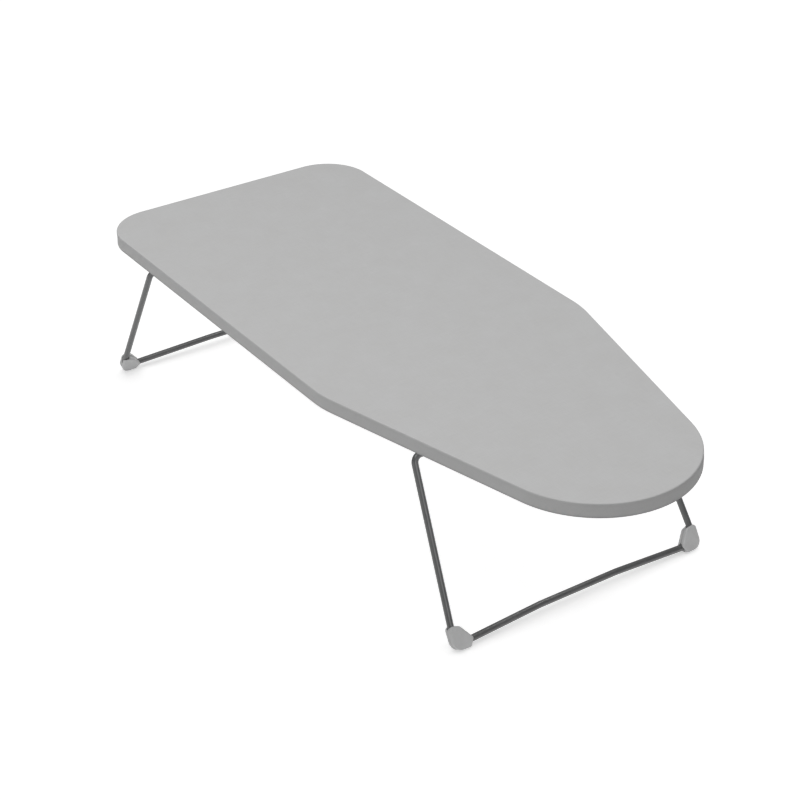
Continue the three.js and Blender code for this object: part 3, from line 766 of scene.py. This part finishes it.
def finished_copy(node, material, slot, body, width):
    """A CAD solid with its edges rounded, as on a pressing or a moulding."""
    source = frame["nodes"][node]
    obj = bpy.data.objects.new(node + "_finished", source.data.copy())
    scene.collection.objects.link(obj)

    def clean(bm):
        bmesh.ops.remove_doubles(bm, verts=bm.verts, dist=1e-6)
        bmesh.ops.dissolve_limit(bm, angle_limit=math.radians(1), verts=bm.verts, edges=bm.edges)
    edit(obj, clean)
    rounded(obj, width, segments=3, angle=32, harden=True)
    soften(obj, angle=40)
    return finish_piece(obj, material, body, slot, node)


# ---- legs ----
def turned(before, here, after, r, step=5):
    """The arc that rounds one corner of a run of straight lines."""
    before, here, after = (np.array(p[:2], float) for p in (before, here, after))
    back = (before - here) / np.linalg.norm(before - here)
    on = (after - here) / np.linalg.norm(after - here)
    turn = math.pi - math.acos(np.clip(back @ on, -1, 1))
    side = np.sign(back[1] * on[0] - back[0] * on[1])
    bisector = (back + on) / np.linalg.norm(back + on)
    centre = here + bisector * r / math.cos(turn / 2)
    start = here + back * r * math.tan(turn / 2) - centre
    n = max(2, math.ceil(math.degrees(turn) / step))
    angles = side * turn * np.arange(n + 1) / n
    return [centre + (start[0] * math.cos(a) - start[1] * math.sin(a),
                      start[0] * math.sin(a) + start[1] * math.cos(a)) for a in angles]


def bent(corners):
    run = []
    for i, corner in enumerate(corners):
        if len(corner) == 2:
            run.append(np.array(corner, float))
        else:
            run += turned(corners[i - 1], corner, corners[i + 1], corner[2])
    return np.array(run)


def wire_run(leg):
    """Half of the wire's centre line as (y, z) in the leg's plane, top bar's middle to floor bar's middle."""
    return bent([(0, -DIP), (DIP_HALF, -DIP, TOP_BEND_R), (DIP_HALF + DIP_RAMP, 0, TOP_BEND_R),
                 (leg["top"], 0, TOP_BEND_R), (leg["foot"], -leg["length"] - FLOOR_SAG, FOOT_BEND_R),
                 (ARCH_HALF, -leg["length"] + FLOOR_ARCH, ARCH_BEND_R),
                 (0, -leg["length"] + FLOOR_ARCH)])


def spaced(run, step):
    """The same run with no stretch longer than the step."""
    out = [run[0]]
    for a, b in zip(run, run[1:]):
        n = max(1, math.ceil(np.linalg.norm(b - a) / step))
        out += [a + (b - a) * k / n for k in range(1, n + 1)]
    return np.array(out)


def leg_space(leg, points):
    """(n, y, z) in a leg's own plane to the board's frame; n points outwards."""
    n, y, z = np.asarray(points, float).T
    lean, out = math.radians(leg["lean"]), leg["out"]
    x = leg["x"] + out * (n * math.cos(lean) - z * math.sin(lean))
    return np.column_stack([x, y, PIVOT_Z + z * math.cos(lean) + n * math.sin(lean)])


def tube(run, radius, sides=32, closed=False):
    """A tube along a flat run of (y, z), as points (n, y, z) and faces; radius may vary along it."""
    ahead = np.roll(run, -1, 0) - run
    behind = run - np.roll(run, 1, 0)
    if not closed:
        ahead[-1], behind[0] = behind[-1], ahead[0]

    def unit(v):
        return v / np.linalg.norm(v, axis=1)[:, None]

    way = unit(unit(ahead) + unit(behind))
    side = np.column_stack([way[:, 1], -way[:, 0]])
    mitre = 1 / np.clip((unit(ahead) * way).sum(1), 0.5, 1)
    radius = np.broadcast_to(radius, len(run))
    a = 2 * math.pi * np.arange(sides) / sides
    rows = [np.column_stack([r * np.cos(a), p[0] + s[0] * r * m * np.sin(a), p[1] + s[1] * r * m * np.sin(a)])
            for p, s, r, m in zip(run, side, radius, mitre)]
    if closed:
        return loft(rows + rows[:1])
    points, faces = loft(rows)
    faces = [tuple(f) for f in faces]
    faces += [tuple(range(sides)), tuple(reversed(range(len(points) - sides, len(points))))]
    return points, faces


def leg_wire(name, leg, material):
    half = spaced(wire_run(leg), 5)
    loop = np.vstack([half, (half * (-1, 1))[::-1][1:-1]])
    # The wire is butt-welded into a loop at the middle of its top bar and dressed nearly flush.
    from_weld = np.linalg.norm(loop - loop[0], axis=1)
    radius = WIRE_R + COAT + WELD_RISE * np.exp(-(from_weld / WELD_HALF) ** 2)
    points, faces = tube(loop, radius, closed=True)
    obj = make(f"{name}_leg_bent_wire", leg_space(leg, points), faces)
    weld(obj)
    return finish_piece(obj, material, f"{name}_leg", "wire_steel", f"{name}_leg_wire")


def foot_solid(name, leg, hand, face):
    """Half of a foot: a block with rounded edges, before its wire hole and its level underside are cut."""
    corners = FOOT_CORNERS + FOOT_CORNERS[:1]
    outline = []
    for i, corner in enumerate(FOOT_CORNERS):
        outline += turned(FOOT_CORNERS[i - 1], corner, corners[i + 1], corner[2], 6)
    outline = spaced(np.array(outline + outline[:1]), FOOT_STEP)[:-1]
    count = len(outline)
    ahead = np.roll(outline, -1, 0) - np.roll(outline, 1, 0)
    out_way = np.column_stack([ahead[:, 1], -ahead[:, 0]]) / np.linalg.norm(ahead, axis=1)[:, None]
    # A shallow channel runs where the halves meet. It fades out on the outer side, where the wall is thin.
    channel = 0.2 + 0.8 * np.clip(-outline[:, 0] / 6, 0, 1)
    straight, shoulder = np.zeros(count), FOOT_T / 2 - FOOT_EDGE_R
    profile = [(channel, PARTING), (channel, CHANNEL_HALF), (0.3 * channel, CHANNEL_HALF + 0.1),
               (straight, CHANNEL_HALF + 0.3), (straight, shoulder - 0.4)]
    profile += [(straight + FOOT_EDGE_R * (1 - math.cos(a)), shoulder + FOOT_EDGE_R * math.sin(a))
                for a in np.radians(np.arange(0, 91, 15))]
    rows = []
    for inset, depth in profile:
        y, z = (outline - out_way * inset[:, None]).T
        n = np.full(count, face * depth)
        rows.append(np.column_stack([n, hand * (leg["foot"] + y), z - leg["length"]]))
    points, faces = loft(rows)
    faces = [tuple(f) for f in faces]
    faces += [tuple(range(count)), tuple(range(len(points) - count, len(points)))]
    return make(name, leg_space(leg, points), faces)


def cut(obj, tool):
    step = obj.modifiers.new("cut", "BOOLEAN")
    step.operation, step.solver, step.object = "DIFFERENCE", "EXACT", tool
    applied(obj)


def wire_hole(leg, hand):
    """A tool with the shape of the hole for the wire through a foot, wider where it comes out."""
    def from_foot(run):
        return np.hypot(run[:, 0] - hand * leg["foot"], run[:, 1] + leg["length"])

    def onward(start, end):
        return start + (end - start) / np.linalg.norm(end - start) * HOLE_REACH

    run = wire_run(leg) * (hand, 1)
    near = run[from_foot(run) < HOLE_BEND_REACH]
    top = onward(near[0], np.array([hand * leg["top"], 0]))
    low = onward(near[-1], np.array([hand * ARCH_HALF, FLOOR_ARCH - leg["length"]]))
    near = spaced(np.vstack([top, near, low]), FOOT_STEP)
    flare = HOLE_FLARE * np.clip((from_foot(near) - 10.5) / 5, 0, 1) ** 2
    points, faces = tube(near, WIRE_R + HOLE_GAP + flare)
    return make("hole_tool", leg_space(leg, points), faces)


def below_table():
    """A tool that fills the space under the table, which leaves the feet level."""
    box = [(x, y, z) for x in (-500, 500) for y in (-300, 300) for z in (-60, 0)]
    sides = [(0, 1, 3, 2), (4, 6, 7, 5), (0, 4, 5, 1), (2, 3, 7, 6), (0, 2, 6, 4), (1, 5, 7, 3)]
    return make("table_tool", box, sides)


def foot(name, leg, hand, material):
    """The two halves of one foot, which close round the wire."""
    side = "left" if hand > 0 else "right"
    tools = [wire_hole(leg, hand), below_table()]
    for tool in tools:
        weld(tool)
    for face, title in ((1, "outer"), (-1, "inner")):
        obj = foot_solid(f"{name}_{side}_foot_{title}_moulding", leg, hand, face)
        weld(obj)
        for tool in tools:
            cut(obj, tool)
        rounded(obj, width=0.32, segments=2, angle=42)
        soften(obj, angle=38)
        finish_piece(obj, material, f"{name}_leg", "foot_plastic", f"{name}_{side}_foot_{title}_shell")
    for tool in tools:
        bpy.data.objects.remove(tool)


# ---- the whole board ----
camera()
cloth = cover()
stitches = hem_stitches()
elastic()
felt()

deck_paint = stoved_paint("deck_paint", 0.075, 0.5)
wire_paint = stoved_paint("wire_paint", 0.09, 0.4, metallic=0.2, peel=0.0022,
                          Coat_Weight=0.5, Coat_Roughness=0.1)
nylon = moulded("black_nylon", 0.045, 0.5)
foot_plastic = moulded("foot_plastic", 0.43, 0.45, Specular_IOR_Level=0.45)
plating = zinc()

expanded_mesh(deck_paint)
for title in frame["record"]["behaviour"]["bodies"]["board"]:
    if title.endswith(("cross_rail", "spine_rail", "rim_frame")):
        finished_copy(title, deck_paint, "deck_steel", "board", width=0.3)
    elif title.endswith(("saddle", "leg_catch")):
        finished_copy(title, nylon, "fitting_plastic", "board", width=0.4)
    elif "rivet" in title:
        finished_copy(title, plating, "rivet_zinc", "board", width=0.2)
for title, leg in LEGS.items():
    leg_wire(title, leg, wire_paint)
    for hand in (-1, 1):
        foot(title, leg, hand, foot_plastic)

studio()
